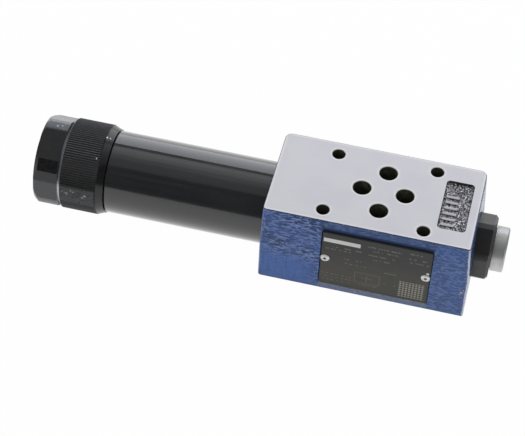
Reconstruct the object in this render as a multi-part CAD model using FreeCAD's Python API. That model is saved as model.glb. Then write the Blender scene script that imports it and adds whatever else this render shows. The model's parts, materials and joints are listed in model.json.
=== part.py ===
import FreeCAD, Part
import math
import os

# Size 6 hydraulic sandwich valve: a spring loaded pressure reducing valve that is clamped between
# a subplate and a directional valve. All sizes are in millimetres. The origin is the centre of the
# bolt hole pattern on the mounting face, X points to the gauge port and Z points up.

V = FreeCAD.Vector

# Hole pattern of the size 6 interface
bolt_pitch_x = 40.5
left_bolt_pitch_y = 31.0
right_bolt_pitch_y = 32.5
bolt_hole_d = 5.4
port_d = 7.5
pt_line_x = 1.25
pt_pitch_y = 20.8
ab_centre_x = 1.2
ab_pitch_x = 17.5
rim_chamfer = 0.25

# Cast body: its ends lean in from half height and its long sides near the top, up to the ground face
body_left = 43.8
body_right = 41.4
body_front = 22.1
body_back = 22.05
body_height = 40.0
bore_height = 20.0
end_lean_start = 20.0
side_lean_start = 33.5
left_lean = 0.55
right_lean = 1.45
front_lean = 0.8
back_lean = 0.3
far_corner_r = 2.8
near_left_corner_r = 1.2
near_right_corner_r = 0.7
housing_seat_sink = 0.55
plug_seat_sink = 1.15
seat_margin = 0.4

# Cast pocket in the top face
pocket_x = 11.4
pocket_y = 26.1
pocket_depth = 1.0
pocket_corner_r = 1.5
pocket_from_right = 4.0

# Seals, each with its section drawn as a flat sided ring
o_ring_seat_d = 12.3
o_ring_seat_depth = 1.35
port_o_ring_width = 1.9
housing_seal_cord = 1.76
plug_seal_cord = 1.7
nose_seal_cord = 2.0
nose_seal_squeeze = 0.3
seal_sides = 12

# Spool, its chambers and the walls between them
spool_d = 11.0
ab_chamber_depth = 3.5
ab_chamber_margin = 0.5
p_chamber_depth = 3.0
p_chamber_w = 3.5
wall_a_to_p = 4.0
wall_p_to_outlet = 2.25
wall_outlet_to_spring = 2.5
neck_depth = 2.0
supply_opening = 1.0
relief_lap = 0.5
notch_l = 1.75
notch_d = 2.4
spool_stroke = 3.0
balance_groove_w = 0.5
balance_groove_depth = 0.4
spool_edge = 0.4
spool_drilling_d = 3.0
cross_drilling_d = 2.0
orifice_thread_d = 5.0
orifice_l = 5.0
orifice_tap_margin = 0.5
orifice_d = 0.8
screw_slot_w = 0.8
screw_slot_depth = 1.0
spool_nose_d = 6.0
spool_nose_l = 3.0

# Flow passages in the casting
port_drill_depth = 11.0
drill_tip_angle = 118.0
port_run_in = 1.44
supply_passage_d = 5.0
outlet_passage_d = 4.4
passage_depth = 7.5
passage_shift_y = 1.6
riser_d = 3.4
riser_run_in = 1.05
riser_angle = 55.2
drain_d = 2.8
drain_wall = 0.8
drain_angle = 130.0

# Spring housing tube
housing_d = 34.2
housing_l = 67.2
housing_thread_d = 27.0
housing_thread_pitch = 1.5
housing_thread_edge = 0.6
thread_run_out = 0.7
housing_floor = 3.0
housing_edge = 0.4
spring_side_gap = 0.6
adjust_thread_d = 27.0
adjust_thread_l = 13.0
adjust_mouth_edge = 0.4
bore_step = 1.0
relief_step = 0.8

# Adjusting cap
cap_d = 37.7
cap_gap = 0.6
cap_bevel_l = 3.0
cap_lip_step = 0.45
knurl_l = 13.7
knurl_end_l = 0.9
knurl_pitch = 1.0
knurl_depth = 0.32
hex_l = 9.9
hex_end_l = 1.6
hex_flats = 35.0
hex_turn = 111.6
hex_foot_step = 0.1
hex_end_drop = 1.15
adjust_pitch = 1.5
adjust_turns = 5.0
adjust_thread_edge = 0.6
stop_ring_w = 1.2
stop_ring_section = 2.0
stop_ring_mouth = 40.0
nose_wall = 0.8
nose_tip_l = 2.0
nose_edge = 0.5

# Spring and its seats
spring_d = 20.0
spring_wire_d = 3.6
wire_sides = 12
spring_coils = 7.0
seat_side_gap = 1.19
seat_flange_t = 2.5
seat_edge = 0.4
seat_hub_l = 3.5
seat_lift = 1.7
hub_gap = 0.3
hub_edge = 0.6
plate_t = 4.0
plate_side_gap = 0.5
plate_edge = 0.6
ball_d = 6.0
ball_space = 2.0

# End plug and the gauge port plug in it
plug_flats = 24.0
plug_corner_d = 26.4
plug_head_l = 7.7
plug_turn = 124.5
plug_end_d = 24.2
plug_thread_d = 20.0
plug_shank_l = 12.0
plug_shank_edge = 0.8
plug_mouth_edge = 0.6
plug_room = 0.5
gauge_thread_d = 13.16
gauge_depth = 12.0
gauge_drilling_d = 4.0
collar_d = 18.4
collar_l = 5.3
collar_edge = 0.6
collar_gap = 0.2
gauge_shank_l = 10.5
gauge_shank_edge = 0.8
socket_flats = 6.0
socket_depth = 6.0
gauge_seal_t = 1.2
gauge_seal_land = 0.9
collar_rim = 0.8

# Nameplate
plate_l = 44.5
plate_h = 31.65
nameplate_t = 0.8
plate_centre_x = 3.75
plate_centre_z = 18.5
plate_corner_r = 1.2
recess_margin = 0.35
recess_headroom = 0.8
recess_depth = 1.45
rivet_inset = 1.7
rivet_drop = 0.2
rivet_head_d = 3.9
rivet_head_h = 0.6
rivet_rim_h = 0.15
rivet_crown_d = 2.88
rivet_crown_h = 0.48
rivet_flat_d = 1.6
rivet_shank_d = 2.0
rivet_shank_l = 2.0
rivet_hole_d = 1.3
rivet_hole_depth = 1.6

# Share of its pitch by which a tapped hole is smaller than its thread, from the thread standard
tapping_share = 1.08

# Clearances: radial ones for the fits, and small gaps between faces
running_gap = 0.03
thread_gap = 0.05
turning_gap = 0.08
seal_gap = 0.02
port_seal_gap = 0.08
groove_side_gap = 0.3
ring_floor_gap = 0.1
ring_side_gap = 0.05
face_gap = 0.02
stop_gap = 0.3

# Places along X that follow from the sizes
left_face = housing_seat_sink - body_left
right_face = body_right - plug_seat_sink
port_a_x = ab_centre_x - ab_pitch_x / 2
port_b_x = ab_centre_x + ab_pitch_x / 2
port_p_y = pt_pitch_y / 2
port_t_y = -pt_pitch_y / 2
ab_chamber_w = port_d + ab_chamber_margin
p_end = port_a_x - ab_chamber_w / 2 - wall_a_to_p
p_start = p_end - p_chamber_w
outlet_end = p_start - wall_p_to_outlet
outlet_start = outlet_end - p_chamber_w
spring_floor = outlet_start - wall_outlet_to_spring
spool_shoulder = spring_floor - seat_lift
seat_front = spool_shoulder - seat_flange_t
spigot_end = seat_front - spool_stroke - stop_gap
neck_start = outlet_start + relief_lap
neck_end = p_start + supply_opening
plug_end = right_face - plug_shank_l
plug_face = right_face + plug_head_l
spool_end = plug_end - stop_gap
housing_end = left_face - housing_l
adjust_travel = adjust_pitch * adjust_turns
thread_inner = housing_end + adjust_thread_l
ring_start = thread_inner + adjust_travel + stop_gap
ring_end = ring_start + stop_ring_w
relief_end = ring_end + stop_gap
nose_groove_start = relief_end + adjust_travel + nose_wall
nose_groove_end = nose_groove_start + nose_seal_cord + 2 * groove_side_gap
nose_end = nose_groove_end + nose_tip_l
cap_lip = housing_end - cap_gap
knurl_start = cap_lip - cap_bevel_l
knurl_stop = knurl_start - knurl_l
hex_start = knurl_stop - knurl_end_l
hex_stop = hex_start - hex_l
cap_end = hex_stop - hex_end_l
ball_x = nose_end + ball_space / 2
plate_back = nose_end + ball_space
plate_front = plate_back + plate_t

# Radii and other places that follow from the sizes
spool_r = spool_d / 2 - running_gap
ab_chamber_r = spool_d / 2 + ab_chamber_depth
p_chamber_r = spool_d / 2 + p_chamber_depth
drain_radius = ab_chamber_r + drain_wall + drain_d / 2
housing_core_r = (housing_thread_d - tapping_share * housing_thread_pitch) / 2
housing_neck_r = spring_d / 2 + spring_side_gap
housing_bore_r = adjust_thread_d / 2 - bore_step
relief_r = adjust_thread_d / 2 + relief_step
nose_r = housing_bore_r - turning_gap
stop_ring_r = relief_r - stop_gap
spring_r = (spring_d - spring_wire_d) / 2
hub_r = spring_r - spring_wire_d / 2 - hub_gap
seat_flange_r = housing_core_r - seat_side_gap
recess_y = -body_front + recess_depth
rivet_pitch = plate_l - 2 * rivet_inset
rivet_z = plate_centre_z - rivet_drop


# Shapes turned about the spool bore

def turned(profile):
    points = [V(x, 0, r) for x, r in profile]
    face = Part.Face(Part.makePolygon(points + points[:1]))
    solid = face.revolve(V(0, 0, 0), V(1, 0, 0), 360)
    solid.translate(V(0, 0, bore_height))
    return solid


def bar_x(start, stop, radius):
    return Part.makeCylinder(radius, stop - start, V(start, 0, bore_height), V(1, 0, 0))


def seal_section(width, height):
    corner_r = height / 2 / math.cos(math.pi / seal_sides)
    shift = (width - height) / 2
    points = []
    for corner in range(seal_sides):
        angle = 2 * math.pi * (corner + 0.5) / seal_sides
        across = corner_r * math.cos(angle)
        points.append((across + math.copysign(shift, across), corner_r * math.sin(angle)))
    return points


def o_ring_x(x, radius, cord):
    return turned([(x + across, radius + up) for across, up in seal_section(cord, cord)])


def hex_bar(start, stop, flats, turn):
    corner_r = flats / math.sqrt(3)
    points = []
    for side in range(6):
        angle = math.radians(turn + 30 + 60 * side)
        points.append(V(start, corner_r * math.cos(angle), bore_height + corner_r * math.sin(angle)))
    face = Part.Face(Part.makePolygon(points + points[:1]))
    return face.extrude(V(stop - start, 0, 0))


# Shapes in the block

def bar_z(x, y, bottom, top, radius):
    return Part.makeCylinder(radius, top - bottom, V(x, y, bottom), V(0, 0, 1))


def channel(points, radius):
    tools = [Part.makeSphere(radius, point) for point in points]
    for near, far in zip(points, points[1:]):
        run = far - near
        tools.append(Part.makeCylinder(radius, run.Length, near, run))
    return tools


def rounded_box(size, corner, radii, axis):
    box = Part.makeBox(size[0], size[1], size[2], corner)
    for radius, wanted in radii:
        edges = []
        for edge in box.Edges:
            if edge.Curve.TypeId != "Part::GeomLine":
                continue
            along = edge.Vertexes[1].Point - edge.Vertexes[0].Point
            if along.cross(axis).Length < 1e-6 and wanted(edge.CenterOfMass):
                edges.append(edge)
        box = box.makeFillet(radius, edges)
    return box


def blind_port(x, y, face_z, inward):
    radius = port_d / 2
    straight = Part.makeCylinder(radius, port_drill_depth, V(x, y, face_z), V(0, 0, inward))
    tip_l = radius / math.tan(math.radians(drill_tip_angle / 2))
    tip = Part.makeCone(radius, 0, tip_l, V(x, y, face_z + inward * port_drill_depth), V(0, 0, inward))
    return [straight, tip]


def rim(x, y, face_z, inward, radius):
    wide = radius + rim_chamfer
    return Part.makeCone(wide, radius, rim_chamfer, V(x, y, face_z), V(0, 0, inward))


def bolt_hole_places():
    x = bolt_pitch_x / 2
    left_y = left_bolt_pitch_y / 2
    right_y = right_bolt_pitch_y / 2
    return ((-x, -left_y), (x, -right_y), (x, right_y), (-x, left_y))


def port_places():
    return {
        "p": (pt_line_x, port_p_y),
        "a": (port_a_x, 0.0),
        "b": (port_b_x, 0.0),
        "t": (pt_line_x, port_t_y),
    }


def rivet_places():
    half = rivet_pitch / 2
    return (plate_centre_x - half, plate_centre_x + half)


def bore_cuts():
    plug_seat_r = plug_thread_d / 2 + plug_seal_cord + 2 * seal_gap
    housing_seat_r = housing_thread_d / 2 + housing_seal_cord + 2 * seal_gap
    cuts = [
        bar_x(spring_floor, plug_end, spool_d / 2),
        bar_x(left_face, spring_floor, housing_core_r),
        bar_x(left_face, spigot_end + thread_run_out, housing_thread_d / 2 + thread_gap),
        bar_x(left_face, left_face + housing_seal_cord + 2 * face_gap, housing_seat_r),
        bar_x(plug_end - plug_room, right_face, plug_thread_d / 2 + thread_gap),
        bar_x(right_face - plug_seal_cord - 2 * face_gap, right_face, plug_seat_r),
        bar_x(p_start, p_end, p_chamber_r),
        bar_x(outlet_start, outlet_end, p_chamber_r),
    ]
    for x in (port_a_x, port_b_x):
        cuts.append(bar_x(x - ab_chamber_w / 2, x + ab_chamber_w / 2, ab_chamber_r))
    return cuts


def port_cuts():
    radius = port_d / 2
    reach = ab_chamber_r - port_run_in
    cuts = [bar_z(pt_line_x, port_t_y, 0, body_height, radius)]
    for x in (port_a_x, port_b_x):
        cuts.append(bar_z(x, 0, 0, bore_height - reach, radius))
        cuts.append(bar_z(x, 0, bore_height + reach, body_height, radius))
    cuts += blind_port(pt_line_x, port_p_y, 0, 1)
    cuts += blind_port(pt_line_x, port_p_y, body_height, -1)
    for x, y in port_places().values():
        cuts.append(bar_z(x, y, 0, o_ring_seat_depth, o_ring_seat_d / 2))
        cuts.append(rim(x, y, body_height, -1, radius))
    for x, y in bolt_hole_places():
        cuts.append(bar_z(x, y, 0, body_height, bolt_hole_d / 2))
        cuts.append(rim(x, y, body_height, -1, bolt_hole_d / 2))
        cuts.append(rim(x, y, 0, 1, bolt_hole_d / 2))
    return cuts


def passage_cuts():
    supply_x = (p_start + p_end) / 2
    outlet_x = (outlet_start + outlet_end) / 2
    side_y = port_p_y - passage_shift_y
    riser = math.radians(riser_angle)
    inner_y = (p_chamber_r - riser_run_in) * math.cos(riser)
    rise = (p_chamber_r - riser_run_in) * math.sin(riser)
    low_z = passage_depth
    high_z = body_height - passage_depth
    supply_turn = V(supply_x, side_y, low_z)
    outlet_turn = V(outlet_x, side_y, high_z)
    cuts = channel([V(pt_line_x, port_p_y, low_z), supply_turn], supply_passage_d / 2)
    cuts += channel([supply_turn, V(supply_x, inner_y, bore_height - rise)], riser_d / 2)
    cuts += channel([V(pt_line_x, port_p_y, high_z), outlet_turn], outlet_passage_d / 2)
    cuts += channel([outlet_turn, V(outlet_x, inner_y, bore_height + rise)], riser_d / 2)
    angle = math.radians(drain_angle)
    drain_y = drain_radius * math.cos(angle)
    drain_z = bore_height + drain_radius * math.sin(angle)
    drain_start = V(spring_floor, drain_y, drain_z)
    cuts.append(Part.makeCylinder(drain_d / 2, pt_line_x - spring_floor, drain_start, V(1, 0, 0)))
    return cuts


def pocket_cut():
    corner = V(right_face - pocket_from_right - pocket_x, -pocket_y / 2, body_height - pocket_depth)
    size = (pocket_x, pocket_y, pocket_depth)
    return rounded_box(size, corner, [(pocket_corner_r, lambda point: True)], V(0, 0, 1))


def nameplate_box(margin, headroom, front, back, corner_r):
    size = (plate_l + 2 * margin, back - front, plate_h + margin + headroom)
    corner = V(plate_centre_x - size[0] / 2, front, plate_centre_z - plate_h / 2 - margin)
    return rounded_box(size, corner, [(corner_r, lambda point: True)], V(0, 1, 0))


def rivet_bar(x, start, stop, radius):
    return Part.makeCylinder(radius, stop - start, V(x, start, rivet_z), V(0, 1, 0))


def block_outline(end_share, side_share, z):
    left = end_share * left_lean - body_left
    right = body_right - end_share * right_lean
    front = side_share * front_lean - body_front
    back = body_back - side_share * back_lean
    corners = [
        (right, front, near_right_corner_r, -90),
        (right, back, far_corner_r, 0),
        (left, back, far_corner_r, 90),
        (left, front, near_left_corner_r, 180),
    ]
    arcs = []
    for x, y, radius, start in corners:
        centre = V(x - math.copysign(radius, x), y - math.copysign(radius, y), z)
        arcs.append(Part.makeCircle(radius, centre, V(0, 0, 1), start, start + 90))
    edges = []
    for arc, following in zip(arcs, arcs[1:] + arcs[:1]):
        edges += [arc, Part.makeLine(arc.Vertexes[1].Point, following.Vertexes[0].Point)]
    return Part.Wire(edges)


def cast_block():
    share = (side_lean_start - end_lean_start) / (body_height - end_lean_start)
    foot = block_outline(0, 0, end_lean_start)
    waist = block_outline(share, 0, side_lean_start)
    head = block_outline(1, 1, body_height)
    lower = Part.Face(block_outline(0, 0, 0)).extrude(V(0, 0, end_lean_start))
    return lower.fuse([Part.makeLoft([foot, waist], True, True), Part.makeLoft([waist, head], True, True)])


def seat_cuts():
    housing_seat = bar_x(-body_left - 1, left_face, housing_d / 2 + seat_margin)
    plug_seat = bar_x(right_face, body_right + 1, plug_corner_d / 2 + seat_margin)
    return [housing_seat, plug_seat]


def valve_body():
    block = cast_block()
    recess_r = plate_corner_r + recess_margin
    recess = nameplate_box(recess_margin, recess_headroom, -body_front - 1, recess_y, recess_r)
    cuts = seat_cuts() + bore_cuts() + port_cuts() + passage_cuts() + [pocket_cut(), recess]
    for x in rivet_places():
        hole_r = rivet_shank_d / 2 + thread_gap
        cuts.append(rivet_bar(x, recess_y, recess_y + rivet_shank_l, hole_r))
    return block.cut(cuts)


# Spool group

def spool_grooves():
    walls = [
        (p_end, port_a_x - ab_chamber_w / 2, 1),
        (port_a_x + ab_chamber_w / 2, port_b_x - ab_chamber_w / 2, 3),
        (port_b_x + ab_chamber_w / 2, plug_end - plug_room, 3),
    ]
    places = []
    for start, stop, count in walls:
        step = (stop - start) / (count + 1)
        places += [start + step * (k + 1) for k in range(count)]
    return places


def control_spool():
    nose_r = spool_nose_d / 2
    neck_r = spool_d / 2 - neck_depth
    nose_tip = spool_shoulder - spool_nose_l
    profile = [(nose_tip, 0), (nose_tip, nose_r), (spool_shoulder, nose_r), (spool_shoulder, spool_r)]
    profile += [(neck_start, spool_r), (neck_start, neck_r), (neck_end, neck_r), (neck_end, spool_r)]
    for x in spool_grooves():
        start = x - balance_groove_w / 2
        stop = x + balance_groove_w / 2
        floor_r = spool_r - balance_groove_depth
        profile += [(start, spool_r), (start, floor_r), (stop, floor_r), (stop, spool_r)]
    profile += [(spool_end - spool_edge, spool_r), (spool_end, spool_r - spool_edge), (spool_end, 0)]
    cross_x = (neck_start + neck_end) / 2
    tapped = spool_end - orifice_l - orifice_tap_margin
    cuts = [
        bar_x(cross_x, spool_end, spool_drilling_d / 2),
        bar_x(tapped, spool_end, orifice_thread_d / 2 + thread_gap),
        bar_z(cross_x, 0, bore_height - spool_r, bore_height + spool_r, cross_drilling_d / 2),
    ]
    for side in range(4):
        angle = math.pi * (side + 0.5) / 2
        place = V(neck_start - notch_l, spool_r * math.cos(angle), bore_height + spool_r * math.sin(angle))
        cuts.append(Part.makeCylinder(notch_d / 2, notch_l + relief_lap, place, V(1, 0, 0)))
    return turned(profile).cut(cuts)


def orifice_screw():
    start = spool_end - orifice_l
    stop = spool_end - face_gap
    screw = bar_x(start, stop, orifice_thread_d / 2)
    corner = V(stop - screw_slot_depth, -orifice_thread_d / 2, bore_height - screw_slot_w / 2)
    slot = Part.makeBox(screw_slot_depth, orifice_thread_d, screw_slot_w, corner)
    return screw.cut([slot, bar_x(start, stop, orifice_d / 2)])


def spool_spring_seat():
    back = spool_shoulder - face_gap
    front = seat_front
    tip = front - seat_hub_l
    profile = [(back, 0), (back, seat_flange_r - seat_edge), (back - seat_edge, seat_flange_r)]
    profile += [(front, seat_flange_r), (front, hub_r)]
    profile += [(tip + hub_edge, hub_r), (tip, hub_r - hub_edge), (tip, 0)]
    socket = bar_x(back - spool_nose_l - face_gap, back, spool_nose_d / 2 + thread_gap)
    return turned(profile).cut(socket)


# Spring group

def main_spring():
    start = plate_front + face_gap
    stop = seat_front - face_gap
    length = stop - start
    pitch = length / spring_coils
    helix = Part.makeHelix(pitch, length, spring_r)
    corner_r = spring_wire_d / 2
    points = []
    for corner in range(wire_sides):
        angle = 2 * math.pi * (corner + 0.5) / wire_sides
        points.append(V(spring_r + corner_r * math.cos(angle), 0, corner_r * math.sin(angle)))
    section = Part.makePolygon(points + points[:1])
    coil = Part.Wire(helix.Edges).makePipeShell([section], True, True)
    coil.rotate(V(0, 0, 0), V(0, 1, 0), 90)
    coil.translate(V(start, 0, bore_height))
    return coil.common(bar_x(start, stop, spring_d))


def spring_plate():
    edge_r = housing_bore_r - plate_side_gap
    tip = plate_front + seat_hub_l
    profile = [(plate_back, 0), (plate_back, edge_r - plate_edge), (plate_back + plate_edge, edge_r)]
    profile += [(plate_front, edge_r), (plate_front, hub_r)]
    profile += [(tip - hub_edge, hub_r), (tip, hub_r - hub_edge), (tip, 0)]
    dimple = Part.makeSphere(ball_d / 2 + face_gap, V(ball_x, 0, bore_height))
    return turned(profile).cut(dimple)


def thrust_ball():
    return Part.makeSphere(ball_d / 2, V(ball_x, 0, bore_height))


# Spring housing

def spring_housing():
    outer = housing_d / 2
    edge = housing_edge
    inner_start = left_face - housing_floor
    thread_r = adjust_thread_d / 2 + turning_gap
    spigot_r = housing_thread_d / 2
    profile = [
        (spigot_end, housing_neck_r),
        (spigot_end, spigot_r - housing_thread_edge),
        (spigot_end - housing_thread_edge, spigot_r),
        (left_face, spigot_r),
        (left_face, outer - edge),
        (left_face - edge, outer),
        (housing_end + edge, outer),
        (housing_end, outer - edge),
        (housing_end, thread_r + adjust_mouth_edge),
        (housing_end + adjust_mouth_edge, thread_r),
        (thread_inner, thread_r),
        (thread_inner, relief_r),
        (relief_end, relief_r),
        (relief_end, housing_bore_r),
        (inner_start, housing_bore_r),
        (inner_start, housing_neck_r),
    ]
    return turned(profile)


def housing_o_ring():
    radius = (housing_thread_d + housing_seal_cord) / 2 + seal_gap
    return o_ring_x(left_face + housing_seal_cord / 2 + face_gap, radius, housing_seal_cord)


# Adjusting cap group

def knurled_bar(start, stop, radius):
    count = round(2 * math.pi * radius / knurl_pitch)
    points = []
    for tooth in range(count):
        for step, r in ((0.0, radius), (0.5, radius - knurl_depth)):
            angle = 2 * math.pi * (tooth + step) / count
            points.append(V(start, r * math.cos(angle), bore_height + r * math.sin(angle)))
    face = Part.Face(Part.makePolygon(points + points[:1]))
    return face.extrude(V(stop - start, 0, 0))


def adjusting_cap():
    cap_r = cap_d / 2
    foot_r = hex_flats / 2 + hex_foot_step
    band = turned([
        (cap_lip, 0),
        (cap_lip, housing_d / 2 + cap_lip_step),
        (knurl_start, cap_r),
        (knurl_stop, cap_r),
        (hex_start, foot_r),
        (hex_start, 0),
    ])
    band = band.common(knurled_bar(cap_lip, hex_start, cap_r))
    end_r = cap_r - hex_end_drop
    head = turned([(hex_start, 0), (hex_start, cap_r), (hex_stop, cap_r), (cap_end, end_r), (cap_end, 0)])
    head = head.common(hex_bar(hex_start, cap_end, hex_flats, hex_turn))
    thread_r = adjust_thread_d / 2
    groove_r = nose_r - nose_seal_cord + nose_seal_squeeze
    ring_groove_r = stop_ring_r - stop_ring_section - ring_floor_gap
    spigot = turned([
        (cap_lip, 0),
        (cap_lip, thread_r),
        (thread_inner - adjust_thread_edge, thread_r),
        (thread_inner, nose_r),
        (ring_start - ring_side_gap, nose_r),
        (ring_start - ring_side_gap, ring_groove_r),
        (ring_end + ring_side_gap, ring_groove_r),
        (ring_end + ring_side_gap, nose_r),
        (nose_groove_start, nose_r),
        (nose_groove_start, groove_r),
        (nose_groove_end, groove_r),
        (nose_groove_end, nose_r),
        (nose_end - nose_edge, nose_r),
        (nose_end, nose_r - nose_edge),
        (nose_end, 0),
    ])
    dimple = Part.makeSphere(ball_d / 2 + thread_gap, V(ball_x, 0, bore_height))
    return band.fuse([head, spigot]).removeSplitter().cut(dimple)


def adjuster_o_ring():
    cord = nose_seal_cord - nose_seal_squeeze - seal_gap
    radius = housing_bore_r - seal_gap - cord / 2
    return o_ring_x((nose_groove_start + nose_groove_end) / 2, radius, cord)


def cap_stop_ring():
    inner = stop_ring_r - stop_ring_section
    ring = turned([
        (ring_start, inner),
        (ring_start, stop_ring_r),
        (ring_end, stop_ring_r),
        (ring_end, inner),
    ])
    half = math.radians(stop_ring_mouth / 2)
    reach = 2 * stop_ring_r
    points = [V(ring_start, 0, bore_height)]
    for angle in (math.pi / 2 - half, math.pi / 2 + half):
        points.append(V(ring_start, reach * math.cos(angle), bore_height + reach * math.sin(angle)))
    mouth = Part.Face(Part.makePolygon(points + points[:1])).extrude(V(stop_ring_w, 0, 0))
    return ring.cut(mouth)


# End plug group

def end_plug():
    corner_r = plug_corner_d / 2
    end_r = plug_end_d / 2
    bevel = corner_r - end_r
    head = turned([
        (right_face, 0),
        (right_face, corner_r),
        (plug_face - bevel, corner_r),
        (plug_face, end_r),
        (plug_face, 0),
    ])
    head = head.common(hex_bar(right_face, plug_face, plug_flats, plug_turn))
    shank_r = plug_thread_d / 2
    shank = turned([
        (right_face, 0),
        (right_face, shank_r),
        (plug_end + plug_shank_edge, shank_r),
        (plug_end, shank_r - plug_shank_edge),
        (plug_end, 0),
    ])
    thread_r = gauge_thread_d / 2 + thread_gap
    mouth_floor = plug_face - plug_mouth_edge
    mouth = turned([
        (plug_face, 0),
        (plug_face, thread_r + plug_mouth_edge),
        (mouth_floor, thread_r),
        (mouth_floor, 0),
    ])
    cuts = [
        mouth,
        bar_x(plug_face - gauge_depth, plug_face, thread_r),
        bar_x(plug_end, plug_face - gauge_depth, gauge_drilling_d / 2),
    ]
    return head.fuse(shank).cut(cuts)


def end_plug_o_ring():
    radius = (plug_thread_d + plug_seal_cord) / 2 + seal_gap
    return o_ring_x(right_face - plug_seal_cord / 2 - face_gap, radius, plug_seal_cord)


def gauge_seal_radii():
    inner = gauge_thread_d / 2 + gauge_seal_land
    outer = collar_d / 2 - collar_rim
    return inner, outer


def gauge_port_plug():
    collar_start = plug_face + collar_gap
    collar_end = collar_start + collar_l
    shank_end = collar_start - gauge_shank_l
    collar_r = collar_d / 2
    shank_r = gauge_thread_d / 2
    inner, outer = gauge_seal_radii()
    seal_floor = plug_face + gauge_seal_t + 2 * face_gap
    plug = turned([
        (shank_end, 0),
        (shank_end, shank_r - gauge_shank_edge),
        (shank_end + gauge_shank_edge, shank_r),
        (collar_start, shank_r),
        (collar_start, inner - seal_gap),
        (seal_floor, inner - seal_gap),
        (seal_floor, outer + seal_gap),
        (collar_start, outer + seal_gap),
        (collar_start, collar_r),
        (collar_end - collar_edge, collar_r),
        (collar_end, collar_r - collar_edge),
        (collar_end, 0),
    ])
    return plug.cut(hex_bar(collar_end - socket_depth, collar_end, socket_flats, plug_turn))


def gauge_port_seal():
    inner, outer = gauge_seal_radii()
    start = plug_face + face_gap
    stop = start + gauge_seal_t
    return turned([(start, inner), (start, outer), (stop, outer), (stop, inner)])


# Nameplate and its rivets

def nameplate():
    front = recess_y - nameplate_t
    plate = nameplate_box(0, 0, front, recess_y, plate_corner_r)
    holes = [rivet_bar(x, front, recess_y, rivet_shank_d / 2 + thread_gap) for x in rivet_places()]
    return plate.cut(holes)


def nameplate_rivets():
    under = recess_y - nameplate_t - face_gap
    top = under - rivet_head_h
    head_r = rivet_head_d / 2
    rivets = []
    for x in rivet_places():
        middle = V(x, under, rivet_z)
        rim_point = V(x + head_r, under - rivet_rim_h, rivet_z)
        crown = V(x + rivet_crown_d / 2, under - rivet_crown_h, rivet_z)
        flat = V(x + rivet_flat_d / 2, top, rivet_z)
        edges = [
            Part.makeLine(middle, V(x + head_r, under, rivet_z)),
            Part.makeLine(V(x + head_r, under, rivet_z), rim_point),
            Part.Arc(rim_point, crown, flat).toShape(),
            Part.makeLine(flat, V(x, top, rivet_z)),
            Part.makeLine(V(x, top, rivet_z), middle),
        ]
        head = Part.Face(Part.Wire(edges)).revolve(middle, V(0, 1, 0), 360)
        shank = rivet_bar(x, under, recess_y + rivet_shank_l - stop_gap, rivet_shank_d / 2)
        hole = rivet_bar(x, top, under + rivet_hole_depth, rivet_hole_d / 2)
        rivets.append(head.fuse(shank).cut(hole))
    return Part.makeCompound(rivets)


# Face seals of the four ports

def port_o_ring(place):
    height = o_ring_seat_depth - 2 * face_gap
    radius = o_ring_seat_d / 2 - port_seal_gap - port_o_ring_width / 2
    points = [V(radius + across, 0, up) for across, up in seal_section(port_o_ring_width, height)]
    face = Part.Face(Part.makePolygon(points + points[:1]))
    ring = face.revolve(V(0, 0, 0), V(0, 0, 1), 360)
    ring.translate(V(place[0], place[1], o_ring_seat_depth / 2))
    return ring


def pieces():
    made = {
        "valve_body": valve_body(),
        "control_spool": control_spool(),
        "orifice_screw": orifice_screw(),
        "spool_spring_seat": spool_spring_seat(),
        "main_spring": main_spring(),
        "spring_plate": spring_plate(),
        "thrust_ball": thrust_ball(),
        "spring_housing": spring_housing(),
        "housing_o_ring": housing_o_ring(),
        "adjusting_cap": adjusting_cap(),
        "adjuster_o_ring": adjuster_o_ring(),
        "cap_stop_ring": cap_stop_ring(),
        "end_plug": end_plug(),
        "end_plug_o_ring": end_plug_o_ring(),
        "gauge_port_plug": gauge_port_plug(),
        "gauge_port_seal": gauge_port_seal(),
        "nameplate": nameplate(),
        "nameplate_rivets": nameplate_rivets(),
    }
    for port, place in port_places().items():
        made["port_o_ring_" + port] = port_o_ring(place)
    return made


os.makedirs("parts", exist_ok=True)
for name, shape in pieces().items():
    if not shape.isValid():
        raise ValueError(name + " is not a valid solid")
    shape.exportStep("parts/" + name + ".step")
    print(name, len(shape.Solids), round(shape.Volume, 1), len(shape.Faces))
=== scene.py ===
import json
import math

import bmesh
import bpy
from bpy.props import FloatProperty, FloatVectorProperty, PointerProperty
from mathutils import Matrix, Vector

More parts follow.
